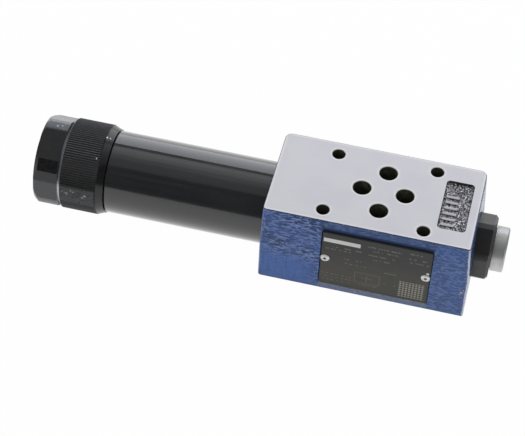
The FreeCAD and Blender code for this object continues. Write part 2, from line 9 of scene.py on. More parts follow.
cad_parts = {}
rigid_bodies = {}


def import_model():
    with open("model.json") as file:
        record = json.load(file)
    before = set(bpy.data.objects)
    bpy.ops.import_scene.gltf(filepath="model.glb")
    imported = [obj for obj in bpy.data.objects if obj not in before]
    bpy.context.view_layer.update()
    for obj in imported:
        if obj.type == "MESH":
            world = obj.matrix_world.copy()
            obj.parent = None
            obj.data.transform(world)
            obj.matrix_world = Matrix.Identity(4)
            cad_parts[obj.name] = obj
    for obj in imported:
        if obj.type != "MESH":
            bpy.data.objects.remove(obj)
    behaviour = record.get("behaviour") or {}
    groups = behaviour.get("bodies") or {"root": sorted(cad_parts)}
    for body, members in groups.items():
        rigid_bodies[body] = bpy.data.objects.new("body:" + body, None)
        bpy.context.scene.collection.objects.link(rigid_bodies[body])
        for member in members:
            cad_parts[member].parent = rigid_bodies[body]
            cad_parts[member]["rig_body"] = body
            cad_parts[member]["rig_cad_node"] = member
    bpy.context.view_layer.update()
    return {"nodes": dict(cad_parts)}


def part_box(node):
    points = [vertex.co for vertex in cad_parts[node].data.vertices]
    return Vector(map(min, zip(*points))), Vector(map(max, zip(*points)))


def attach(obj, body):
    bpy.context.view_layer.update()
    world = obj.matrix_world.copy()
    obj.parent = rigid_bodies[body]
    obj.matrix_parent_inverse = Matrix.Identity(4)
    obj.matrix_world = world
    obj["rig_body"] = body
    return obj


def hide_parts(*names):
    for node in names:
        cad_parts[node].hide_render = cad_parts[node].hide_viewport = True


bl_info = {
    "name": "Sandwich Valve Dresser",
    "version": (1, 0, 0),
    "blender": (4, 5, 0),
    "location": "3D View > Sidebar > Valve",
    "description": "Dresses a hydraulic sandwich valve with its paint, black finishes, print and studio",
    "category": "Object",
}

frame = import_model()

MM = 0.001


def linear(red, green, blue):
    """The linear colour of three sRGB values from 0 to 255."""
    values = [value / 255 for value in (red, green, blue)]
    return tuple(v / 12.92 if v <= 0.04045 else ((v + 0.055) / 1.055) ** 2.4 for v in values)


def scaled(colour, factor):
    """A colour made darker or lighter."""
    return tuple(channel * factor for channel in colour)


def mm(*values):
    """A point given in millimetres."""
    return Vector(values) * MM


BODY_LOW, BODY_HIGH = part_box("valve_body")
BORE_Z = (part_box("spring_housing")[0].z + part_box("spring_housing")[1].z) / 2

# The block's ends and sides lean in from these heights up to its ground top face, whose outline is smaller
END_LEAN_START = 20.0 * MM
SIDE_LEAN_START = 33.5 * MM
TOP_LOW = BODY_LOW + mm(0.55, 0.8, 0.0)
TOP_HIGH = BODY_HIGH - mm(1.45, 0.3, 0.0)

# The port and bolt holes of the top face: X, Y and radius in millimetres
HOLES = (
    (-20.25, -15.5, 2.7),
    (20.25, -16.25, 2.7),
    (20.25, 16.25, 2.7),
    (-20.25, 15.5, 2.7),
    (1.25, 10.4, 3.75),
    (1.25, -10.4, 3.75),
    (-7.55, 0.0, 3.75),
    (9.95, 0.0, 3.75),
)

# The cast pocket of the top face: its middle, half its size and its floor
POCKET_MIDDLE = mm(30.55, 0.0, 0.0)
POCKET_HALF = mm(5.7, 13.05, 0.0)
POCKET_FLOOR = BODY_HIGH.z - 1.0 * MM

# The raised bars in it, in millimetres: middle along X, length, width, and places along Y
BAR_X, BAR_LENGTH, BAR_WIDTH = 28.6, 5.4, 1.3
BAR_PLACES = (-10.2, -7.2, -4.2, -1.2, 1.8, 4.8)

# The block's seats for end plug and spring housing: the radii of their walls, in millimetres
PLUG_SEAT, HOUSING_SEAT = 13.6, 17.5

# The front side, the nameplate's middle along X and its recess, in millimetres
FRONT_Y = -22.1
PLATE_X = 3.75
RECESS_HALF = 22.7
RECESS_BOTTOM, RECESS_TOP = 2.2, 35.2

# The strip over the recess where painted shade darkens the paint: its upper edge and half its length, in
# millimetres
STRIP_TOP = 36.7
STRIP_HALF = 22.6

# The cap along X, in millimetres: where its knurl and its cone begin and end, and where its hexagon ends
KNURL = (-129.1, -128.8), (-114.2, -113.9)
CONE = (-130.0, -129.9), (-128.8, -128.7)
HEXAGON_END = -130.05, -129.95

# How far rings of the cap's solid are moved along X: between two places, all in millimetres
CAP_SHIFTS = ((-128.7, -128.6, -1.3), (-128.55, -127.7, -1.0), (-111.1, -111.0, 0.35))

DOT_PITCH = 1.3 * MM
SEAL_WIDTH = 1.9 * MM
JOIN_DISTANCE = 0.0005 * MM
ZERO, ONES = (0.0, 0.0, 0.0), (1.0, 1.0, 1.0)

# Sizes and colours that a user would change


def colour_property(name, description, default):
    return FloatVectorProperty(
        name=name, description=description, size=3, subtype="COLOR", min=0.0, max=1.0, default=default
    )


def length_property(name, description, default, high):
    return FloatProperty(
        name=name, description=description, unit="LENGTH", precision=5, min=0.0, max=high, default=default
    )


def factor_property(name, description, default, high=1.0):
    return FloatProperty(
        name=name, description=description, subtype="FACTOR", min=0.0, max=high, default=default
    )


class BlockLook(bpy.types.PropertyGroup):
    paint: colour_property("Paint", "Colour of the block's paint", linear(69, 103, 168))
    # The next colour is used only for painted highlights: on the paint's crease crests and along its left
    # front corner.
    paint_highlight: colour_property("Paint highlight", "Colour of the painted highlights on the paint", linear(128, 150, 205))
    ground: colour_property("Ground face", "Colour of the ground port faces", linear(211, 210, 214))
    cast: colour_property("Cast skin", "Colour of the bare casting in the pocket", linear(128, 126, 131))
    edge_bevel: length_property("Edge bevel", "Width of the edge round the port faces", 0.25 * MM, 1 * MM)
    crease_size: length_property("Crease size", "Size of the ripples in the paint", 0.8 * MM, 10 * MM)
    mark_height: length_property("Mark height", "Height of the bars in the pocket", 0.6 * MM, 1.5 * MM)


class BlackLook(bpy.types.PropertyGroup):
    anodised: colour_property("Anodised black", "Colour of the tube and the cap", linear(31, 32, 34))
    oxide: colour_property("Oxide black", "Colour of the end plug", linear(26, 26, 25))
    # The next colour is used for black rubbed off, and also for painted highlights on the cap's knurl crests.
    lightened: colour_property("Worn black", "Colour where the black is rubbed off", linear(150, 152, 156))
    roughness: factor_property("Roughness", "Roughness of the tube", 0.22)


class PlateLook(bpy.types.PropertyGroup):
    sheet: colour_property("Sheet", "Colour of the nameplate", linear(90, 90, 86))
    print_pale: colour_property("Pale print", "Colour of the strong print", linear(236, 236, 232))
    print_faint: colour_property("Faint print", "Colour of the faint print", linear(130, 126, 118))
    rivet: colour_property("Rivet", "Colour of the rivets", linear(232, 232, 230))


class StudioLook(bpy.types.PropertyGroup):
    floor: colour_property("Floor", "Colour of the floor", (0.86, 0.86, 0.86))
    floor_size: length_property("Floor size", "Half the side of the floor", 3.0, 20.0)
    strength: factor_property("Lamp level", "Scale of all the lamps", 1.0, 4.0)
    lens: FloatProperty(
        name="Lens",
        description="Focal length of the camera",
        unit="CAMERA",
        min=10.0,
        max=500.0,
        default=128.957,
    )


# Nodes


class Nodes:
    """The nodes of one tree, with short names for the steps that the finishes are made of."""

    def __init__(self, tree):
        self.tree = tree

    def add(self, kind, inputs=None, **settings):
        """A new node with its settings, and its inputs set or linked."""
        node = self.tree.nodes.new(kind)
        for name, value in settings.items():
            setattr(node, name, value)
        for name, value in (inputs or {}).items():
            self.give(node.inputs[name], value)
        return node

    def give(self, socket, value):
        """Links a socket to another one, or sets it to a plain value."""
        if isinstance(value, bpy.types.NodeSocket):
            self.tree.links.new(value, socket)
        else:
            socket.default_value = value

    def maths(self, operation, *values, clamp=False):
        node = self.add("ShaderNodeMath", dict(enumerate(values)), operation=operation, use_clamp=clamp)
        return node.outputs[0]

    def chain(self, operation, first, *others):
        for other in others:
            first = self.maths(operation, first, other)
        return first

    def times(self, *values):
        return self.chain("MULTIPLY", *values)

    def largest(self, *values):
        return self.chain("MAXIMUM", *values)

    def less(self, first, second):
        return self.maths("SUBTRACT", first, second)

    def vector(self, operation, *values):
        node = self.add("ShaderNodeVectorMath", dict(enumerate(values)), operation=operation)
        return node.outputs["Value" if operation in ("LENGTH", "DISTANCE") else "Vector"]

    def axes(self, vector):
        """The three sockets of a vector, by the names of their axes."""
        return self.add("ShaderNodeSeparateXYZ", {0: vector}).outputs

    def ramp(self, value, low, high, start=0.0, end=1.0, smooth=True):
        """value mapped from low..high to start..end, held at both ends."""
        inputs = {"Value": value, "From Min": low, "From Max": high, "To Min": start, "To Max": end}
        kind = "SMOOTHSTEP" if smooth else "LINEAR"
        return self.add("ShaderNodeMapRange", inputs, interpolation_type=kind, clamp=True).outputs["Result"]

    def spread(self, noise, start=0.0, end=1.0):
        """Noise, which seldom leaves 0.3..0.7, mapped to start..end."""
        return self.ramp(noise, 0.3, 0.7, start, end)

    def noise(self, place, scale, detail=2.0, roughness=0.5, distortion=0.0):
        inputs = {"Vector": place, "Scale": scale, "Detail": detail, "Roughness": roughness}
        return self.add("ShaderNodeTexNoise", {**inputs, "Distortion": distortion}).outputs["Fac"]

    def sized_noise(self, given, detail, roughness, distortion=0.0):
        """Noise for a group: its features have the group's Size and Stretch."""
        place = self.vector("MULTIPLY", given["Place"], given["Stretch"])
        return self.noise(place, self.maths("DIVIDE", 1.0, given["Size"]), detail, roughness, distortion)

    def mix(self, factor, first, second):
        """The mix of two colours; sockets 6, 7 and output 2 are the colour ones."""
        inputs = {0: factor}
        for socket, colour in ((6, first), (7, second)):
            inputs[socket] = colour if isinstance(colour, bpy.types.NodeSocket) else (*tuple(colour)[:3], 1.0)
        return self.add("ShaderNodeMix", inputs, data_type="RGBA").outputs[2]

    def use(self, group, **inputs):
        """Places a node group, with its inputs given as words joined by an underscore."""
        node = self.add("ShaderNodeGroup", node_tree=bpy.data.node_groups[group])
        for label, value in inputs.items():
            self.give(node.inputs[label.replace("_", " ").title()], value)
        return node.outputs


def new_group(name, inputs, outputs):
    """An empty node group: its nodes, and its sockets with their defaults, numbers or vectors."""
    tree = bpy.data.node_groups.new(name, "ShaderNodeTree")
    for label, default in inputs.items():
        kind = "NodeSocketFloat" if isinstance(default, float) else "NodeSocketVector"
        tree.interface.new_socket(label, in_out="INPUT", socket_type=kind).default_value = default
    for label in outputs:
        tree.interface.new_socket(label, in_out="OUTPUT", socket_type="NodeSocketFloat")
    return Nodes(tree), tree.nodes.new("NodeGroupInput").outputs, tree.nodes.new("NodeGroupOutput").inputs


def build_grain():
    """Mottling at a chosen size, stretched along chosen axes."""
    inputs = {"Place": ZERO, "Size": MM, "Stretch": ONES, "Detail": 3.0}
    nodes, given, out = new_group("Grain", inputs, ["Value"])
    nodes.give(out["Value"], nodes.sized_noise(given, given["Detail"], 0.6))


def build_turned_lines():
    """Fine tool lines round the X axis, with a slow change along them."""
    nodes, given, out = new_group("Turned Lines", {"Place": ZERO, "Pitch": 0.2 * MM}, ["Value"])
    along = nodes.vector("MULTIPLY", given["Place"], (1.0, 0.01, 0.01))
    nodes.give(out["Value"], nodes.noise(along, nodes.maths("DIVIDE", 1.0, given["Pitch"]), 3.0, 0.7))


def build_creases():
    """Short wavy ripples of thick paint that has shrunk while drying, and a mask of their valleys for painted
    shade.
    """
    inputs = {"Place": ZERO, "Size": MM, "Stretch": (0.5, 1.0, 1.0)}
    nodes, given, out = new_group("Paint Creases", inputs, ["Height", "Valley Shade"])
    ripple = nodes.sized_noise(given, 0.6, 0.5, 0.6)
    nodes.give(out["Height"], nodes.ramp(ripple, 0.38, 0.62))
    nodes.give(out["Valley Shade"], nodes.ramp(ripple, 0.49, 0.4))


def build_spot():
    """A round patch with a ragged outline, such as a nick or a scuff."""
    inputs = {"Place": ZERO, "Centre": ZERO, "Radius": MM, "Ragged": 0.5}
    nodes, given, out = new_group("Spot", inputs, ["Mask"])
    share = nodes.maths("DIVIDE", nodes.vector("DISTANCE", given["Place"], given["Centre"]), given["Radius"])
    broken = nodes.less(nodes.noise(given["Place"], 2600.0), 0.5)
    share = nodes.maths("ADD", share, nodes.times(broken, nodes.times(given["Ragged"], 4.0)))
    nodes.give(out["Mask"], nodes.ramp(share, 0.55, 1.0, 1.0, 0.0))


def build_corner_line():
    """A broken line along an upright corner of the block, which leans in near the top."""
    inputs = {"Place": ZERO, "Corner": ZERO, "Lean": ZERO, "Width": 0.4 * MM, "Breaks": 0.5}
    nodes, given, out = new_group("Corner Line", inputs, ["Mask"])
    height = nodes.axes(given["Place"])["Z"]
    shares = {
        "X": nodes.ramp(height, END_LEAN_START, BODY_HIGH.z, smooth=False),
        "Y": nodes.ramp(height, SIDE_LEAN_START, BODY_HIGH.z, smooth=False),
    }
    shift = nodes.vector("MULTIPLY", given["Lean"], nodes.add("ShaderNodeCombineXYZ", shares).outputs[0])
    offset = nodes.vector("SUBTRACT", nodes.vector("SUBTRACT", given["Place"], given["Corner"]), shift)
    distance = nodes.vector("LENGTH", nodes.vector("MULTIPLY", offset, (1, 1, 0)))
    wobble = nodes.maths("MULTIPLY_ADD", nodes.noise(given["Place"], 420.0, 3.0), 1.4, 0.3)
    near = nodes.maths("DIVIDE", distance, nodes.times(given["Width"], wobble))
    gaps = nodes.noise(given["Place"], 900.0)
    gaps = nodes.ramp(gaps, nodes.less(given["Breaks"], 0.1), given["Breaks"])
    nodes.give(out["Mask"], nodes.times(nodes.ramp(near, 0.5, 1.2, 1.0, 0.0), gaps))


def build_box_depth():
    """How far a point lies inside a box, from the nearest side, and the box as a mask."""
    inputs = {"Place": ZERO, "Centre": ZERO, "Half": (MM, 1.0, MM), "Soft": 0.04 * MM}
    nodes, given, out = new_group("Box Depth", inputs, ["Depth", "Mask"])
    offset = nodes.vector("ABSOLUTE", nodes.vector("SUBTRACT", given["Place"], given["Centre"]))
    parts = nodes.axes(nodes.vector("SUBTRACT", given["Half"], offset))
    depth = nodes.chain("MINIMUM", parts["X"], parts["Y"], parts["Z"])
    nodes.give(out["Depth"], depth)
    nodes.give(out["Mask"], nodes.ramp(depth, nodes.times(given["Soft"], -1.0), given["Soft"]))


def build_hole_rim_highlight():
    """The ring round the mouth of an upright hole, where a painted highlight goes."""
    inputs = {"Place": ZERO, "Centre": ZERO, "Radius": 3 * MM, "Width": MM}
    nodes, given, out = new_group("Hole Rim Highlight", inputs, ["Mask"])
    flat = nodes.vector("MULTIPLY", nodes.vector("SUBTRACT", given["Place"], given["Centre"]), (1, 1, 0))
    beyond = nodes.less(nodes.vector("LENGTH", flat), given["Radius"])
    nodes.give(out["Mask"], nodes.ramp(nodes.maths("DIVIDE", beyond, given["Width"]), 0.35, 1.0, 1.0, 0.0))


def build_rub():
    """Where handling has worn a finish: broken patches of a chosen size and share."""
    inputs = {"Place": ZERO, "Size": 2 * MM, "Share": 0.3, "Stretch": ONES}
    nodes, given, out = new_group("Rubbed Patches", inputs, ["Mask"])
    value = nodes.sized_noise(given, 5.0, 0.7)
    edge = nodes.less(0.75, nodes.times(given["Share"], 0.5))
    nodes.give(out["Mask"], nodes.ramp(value, edge, nodes.maths("ADD", edge, 0.08)))


GROUP_BUILDERS = (
    build_grain, build_turned_lines, build_creases, build_spot,
    build_corner_line, build_box_depth, build_hole_rim_highlight, build_rub,
)


class Coat(Nodes):
    """A material while it is mixed, on the object's own coordinates; tone is its colour so far."""

    def __init__(self, name):
        self.material = bpy.data.materials.new(name)
        self.material.use_nodes = True
        super().__init__(self.material.node_tree)
        self.tree.nodes.clear()
        self.shader = self.add("ShaderNodeBsdfPrincipled")
        self.add("ShaderNodeOutputMaterial", {"Surface": self.shader.outputs["BSDF"]})
        self.place = self.add("ShaderNodeTexCoord").outputs["Object"]
        self.tone = None

    def axis(self, name):
        return self.axes(self.place)[name]

    def radius(self):
        """The distance from the axis of the bore."""
        parts = self.axes(self.place)
        across = self.add("ShaderNodeCombineXYZ", {"Y": parts["Y"], "Z": self.less(parts["Z"], BORE_Z)})
        return self.vector("LENGTH", across.outputs[0])

    def effect(self, group, **inputs):
        """A shared effect where the point lies."""
        return self.use(group, place=self.place, **inputs)

    def grain(self, size, **inputs):
        return self.effect("Grain", size=size * MM, **inputs)["Value"]

    def lines(self, pitch):
        return self.effect("Turned Lines", pitch=pitch * MM)["Value"]

    def rubbed(self, size, share, **inputs):
        return self.effect("Rubbed Patches", size=size * MM, share=share, **inputs)["Mask"]

    def box(self, centre, half, soft=0.04):
        """A mask of a box, in millimetres."""
        return self.effect("Box Depth", centre=mm(*centre), half=mm(*half), soft=soft * MM)["Mask"]

    def along(self, axis, low, high, start=0.0, end=1.0):
        """A ramp along an axis, or over another length, between two places in millimetres."""
        length = self.axis(axis) if isinstance(axis, str) else axis
        return self.ramp(length, low * MM, high * MM, start, end)

    def band(self, axis, rise, fall):
        """1 along an axis after the first ramp and before the second, in millimetres."""
        return self.times(self.along(axis, *rise), self.along(axis, *fall, 1.0, 0.0))

    def start(self, share, first, second):
        self.tone = self.mix(share, first, second)

    def over(self, share, colour, strength=1.0):
        """Lays a colour over the tone, as far as share and strength say."""
        if strength != 1.0:
            share = self.times(share, strength)
        self.tone = self.mix(share, self.tone, colour)

    def spots(self, spots, ragged, colour):
        """Lays on ragged spots: X, Y, Z and radius of each in millimetres, and its strength."""
        for x, y, z, radius, strength in spots:
            mask = self.effect("Spot", centre=mm(x, y, z), radius=radius * MM, ragged=ragged)["Mask"]
            self.over(mask, colour, strength)

    def done(self, roughness, height, bump=0.3, depth=0.05, **constants):
        """Links the changing values to the shader, sets its plain ones, and gives the material."""
        relief = self.add("ShaderNodeBump", {"Strength": bump, "Distance": depth * MM, "Height": height})
        linked = {"Base Color": self.tone, "Roughness": roughness, "Normal": relief.outputs["Normal"]}
        for label, value in {**linked, **constants}.items():
            self.give(self.shader.inputs[label.replace("_", " ")], value)
        return self.material


# Materials


def paint_finish(look):
    """Blue paint: creased skin with painted highlights on its crests and painted shade in its valleys,
    painted highlight lines on the front corners, a band of painted shade over the plate, chips and a darker
    lower edge.
    """
    coat = Coat("blue_paint")
    creases = coat.effect("Paint Creases", size=look.crease_size, stretch=(0.4, 1.0, 1.0))
    lower_left = coat.times(coat.along("X", -12, -30), coat.along("Z", 20, 12))
    right_side = coat.along("X", 39.6, 40.3)
    beside_plate = coat.along("X", -22, -14, 0.0, 0.55)
    low_edge = coat.along("Z", 3.2, 2.0, 0.0, 0.8)
    smooth = coat.largest(coat.times(lower_left, 0.8), coat.times(right_side, 0.9), beside_plate, low_edge)
    patches = coat.ramp(coat.noise(coat.place, 90.0, 1.0), 0.36, 0.6, 0.6, 1.0)
    amount = coat.times(patches, coat.less(1.0, smooth))
    mottle = coat.grain(3, stretch=(1, 1, 0.6))
    coat.start(coat.ramp(coat.axis("X"), BODY_LOW.x, BODY_HIGH.x), look.paint, linear(68, 99, 157))
    coat.over(coat.spread(mottle, 0.0, 0.3), scaled(look.paint, 0.8))
    # Painted highlight on the crease crests and painted shade in their valleys, as light from above falls on
    # them.
    coat.over(coat.times(coat.ramp(creases["Height"], 0.5, 0.95, 0.0, 0.75), amount), look.paint_highlight)
    coat.over(coat.times(creases["Valley Shade"], coat.times(amount, 0.9)), scaled(look.paint, 0.22))
    coat.over(lower_left, scaled(look.paint, 1.3), 0.5)
    runs = coat.grain(0.8, stretch=(1, 1, 0.08))
    coat.over(coat.times(coat.ramp(runs, 0.5, 0.62, 0.0, 0.3), lower_left), scaled(look.paint, 0.55))
    # Painted shade on the paint over the plate, where the front side leans in near the top.
    shade_over_plate = coat.box((PLATE_X, FRONT_Y, 38.1), (23.4, 1.4, 2.4), soft=0.7)
    coat.over(shade_over_plate, scaled(look.paint, 0.1), 0.36)
    sill = coat.box((PLATE_X, FRONT_Y, 1.4), (22.6, 1.6, 1.5), soft=0.3)
    coat.over(sill, linear(131, 140, 159), 0.5)
    foot = coat.times(coat.along("Z", 0.2, 1.3, 0.5, 0.0), coat.along("X", -12, -18, 0.2, 1.0))
    coat.over(foot, scaled(look.paint, 0.35))
    # The two lines along the front upright corners are painted highlights, where the rounds catch the light.
    left = coat.effect(
        "Corner Line",
        corner=(BODY_LOW.x + 0.3 * MM, BODY_LOW.y + 0.3 * MM, 0),
        lean=TOP_LOW - BODY_LOW,
        width=0.35 * MM,
        breaks=0.42,
    )["Mask"]
    right = coat.effect(
        "Corner Line",
        corner=(BODY_HIGH.x - 0.2 * MM, BODY_LOW.y + 0.2 * MM, 0),
        lean=(TOP_HIGH.x - BODY_HIGH.x, TOP_LOW.y - BODY_LOW.y, 0),
        width=0.6 * MM,
        breaks=0.32,
    )["Mask"]
    coat.over(left, look.paint_highlight, 0.85)
    coat.over(right, linear(214, 222, 238))
    chips = ((39.3, 14.6, 0.7), (38.7, 13.4, 0.45), (39.9, 16.2, 0.4), (-43.1, 33.3, 0.35), (-3.0, 1.6, 0.4))
    coat.spots([(x, -22.05, z, radius, 1.0) for x, z, radius in chips], 0.35, linear(186, 172, 156))
    rough = coat.less(coat.spread(mottle, 0.36, 0.48), coat.times(right_side, 0.24))
    height = coat.times(creases["Height"], amount)
    return coat.done(rough, height, bump=1.0, depth=0.4, Specular_IOR_Level=0.4)


def recess_finish(look):
    """Paint in the plate's recess and along its upper edge: painted shade makes it nearly black there, and a
    painted highlight lightens the sill.
    """
    coat = Coat("recess_paint")
    cloud = coat.grain(2)
    # Painted shade: nearly black high in the recess and low on the strip over it, back to the paint's colour
    # low in the recess, up the strip and at the recess's ends.
    coat.start(coat.along("Z", 30, 4), linear(7, 10, 22), look.paint)
    beside = coat.maths("ABSOLUTE", coat.less(coat.axis("X"), PLATE_X * MM))
    ends = coat.times(coat.along(beside, 21.6, 22.4), coat.along("Z", 34.6, 34.7))
    coat.over(coat.largest(coat.along("Z", 34.9, STRIP_TOP), ends), linear(60, 77, 117))
    # Painted highlight on the sill, the recess's lower wall, which faces up.
    coat.over(coat.along("Z", 3.4, 2.6, 0.0, 0.8), linear(196, 200, 208))
    coat.over(coat.ramp(cloud, 0.4, 0.7, 0.0, 0.3), scaled(look.paint, 0.3))
    return coat.done(coat.spread(cloud, 0.6, 0.75), cloud, bump=0.2, Specular_IOR_Level=0.1)


def paint_edge_finish(look):
    """The broken edge between paint and ground face: dark, with a few bare chips."""
    coat = Coat("paint_edge")
    chips = coat.rubbed(1.1, 0.3)
    coat.start(chips, scaled(look.paint, 0.22), look.ground)
    return coat.done(coat.ramp(chips, 0.0, 1.0, 0.5, 0.3), coat.grain(0.6))


def ground_finish(look):
    """Ground port face: even pale metal, faint grinding lines, and lighter rims round its outline and its
    holes, which are painted highlights.
    """
    coat = Coat("ground_iron")
    lines = coat.grain(2.5, stretch=(0.12, 3.0, 1.0))
    cloud = coat.grain(14)
    coat.start(coat.spread(lines, 0.0, 0.15), look.ground, linear(224, 222, 227))
    coat.over(coat.ramp(cloud, 0.35, 0.7, 0.0, 0.3), linear(206, 204, 211))
    coat.over(coat.ramp(coat.grain(0.5), 0.62, 0.75, 0.0, 0.2), linear(160, 159, 165))
    middle, half = (TOP_LOW + TOP_HIGH) / 2, (TOP_HIGH - TOP_LOW) / 2
    inside = coat.effect("Box Depth", centre=(middle.x, middle.y, 0), half=(half.x, half.y, 1.0))["Depth"]
    # Painted highlights: lighter rims along the face's outline and round each hole, where their edges catch
    # the light.
    lightened = coat.along(inside, 0.5, 1.4, 0.6, 0.0)
    for x, y, radius in HOLES:
        rim_highlight = coat.effect("Hole Rim Highlight", centre=mm(x, y, 0), radius=radius * MM, width=1.15 * MM)["Mask"]
        lightened = coat.largest(lightened, coat.times(rim_highlight, 0.8))
    coat.over(lightened, linear(234, 233, 231))
    return coat.done(coat.spread(cloud, 0.42, 0.52), lines, bump=0.12, depth=0.02, Metallic=0.25)


def cast_finish(look):
    """Bare cast skin of the pocket: light and dark grains, painted shade that makes it black along the walls
    and at the foot of the bars, and a painted highlight on the raised bars.
    """
    coat = Coat("cast_skin")
    grain = coat.grain(0.9, detail=2.0)
    fine = coat.grain(0.7, detail=1.0)
    coat.start(coat.ramp(grain, 0.42, 0.6), linear(30, 28, 34), look.cast)
    coat.over(coat.ramp(fine, 0.56, 0.66), linear(232, 230, 236))
    floor = POCKET_FLOOR / MM
    # Painted highlight on all that stands above the floor: the bars and the upper walls.
    coat.over(coat.along("Z", floor + 0.3, floor + 0.5), linear(198, 196, 201))
    # Painted shade at the foot of the bars and along the pocket's walls.
    bar_foot_shade = coat.band("Z", (floor + 0.03, floor + 0.08), (floor + 0.25, floor + 0.4))
    centre, half = POCKET_MIDDLE - mm(0, 1.0, 0), POCKET_HALF + mm(0, 1.0, 1000.0)
    inside = coat.effect("Box Depth", centre=centre, half=half)["Depth"]
    dark = coat.largest(bar_foot_shade, coat.along(inside, 0.1, 0.55, 1.0, 0.0))
    coat.over(dark, linear(24, 22, 28), 0.9)
    height = coat.maths("ADD", grain, coat.times(fine, 0.5))
    return coat.done(coat.spread(grain, 0.7, 0.5), height, bump=0.9, depth=0.25)


def bore_finish():
    """Oily machined holes and seats: dark olive, with a paler ring near the mouth, which is a painted
    highlight.
    """
    coat = Coat("machined_bore")
    turned = coat.add("ShaderNodeMapping", {"Vector": coat.place, "Rotation": (0, math.pi / 2, 0)})
    lines = coat.use("Turned Lines", place=turned.outputs[0], pitch=0.3 * MM)["Value"]
    from_middle = coat.maths("ABSOLUTE", coat.less(coat.axis("Z"), BORE_Z))
    coat.start(coat.spread(lines), linear(44, 45, 35), linear(66, 66, 55))
    coat.over(coat.ramp(coat.grain(2.5), 0.5, 0.7, 0.0, 0.7), linear(96, 96, 84))
    # Painted highlight: a paler ring near the mouth of the holes.
    coat.over(coat.along(from_middle, 19.2, 19.95), linear(150, 149, 150), 0.35)
    return coat.done(coat.spread(lines, 0.3, 0.45), lines, bump=0.2, Metallic=0.1)


def tube_finish(look):
    """Black anodised tube: half gloss, faint tool lines, slight handling marks."""
    coat = Coat("black_anodised_tube")
    drawn = coat.grain(2.2, stretch=(0.05, 1, 1))
    cloud = coat.grain(18)
    coat.start(coat.spread(cloud), scaled(look.anodised, 0.85), look.anodised)
    coat.over(coat.ramp(drawn, 0.45, 0.75, 0.0, 0.3), linear(52, 53, 55))
    coat.over(coat.rubbed(1.5, 0.12, stretch=(0.4, 1, 1)), look.lightened, 0.25)
    coat.over(coat.along("X", -109.9, -110.2, 0.0, 0.12), look.lightened)
    slow = coat.spread(cloud, look.roughness - 0.02, look.roughness + 0.03)
    rough = coat.maths("ADD", coat.spread(drawn, -0.03, 0.04), slow)
    gloss = {"Coat_Weight": 1.0, "Coat_Roughness": 0.09, "Coat_IOR": 1.43}
    return coat.done(rough, coat.lines(0.35), bump=0.05, depth=0.01, **gloss)


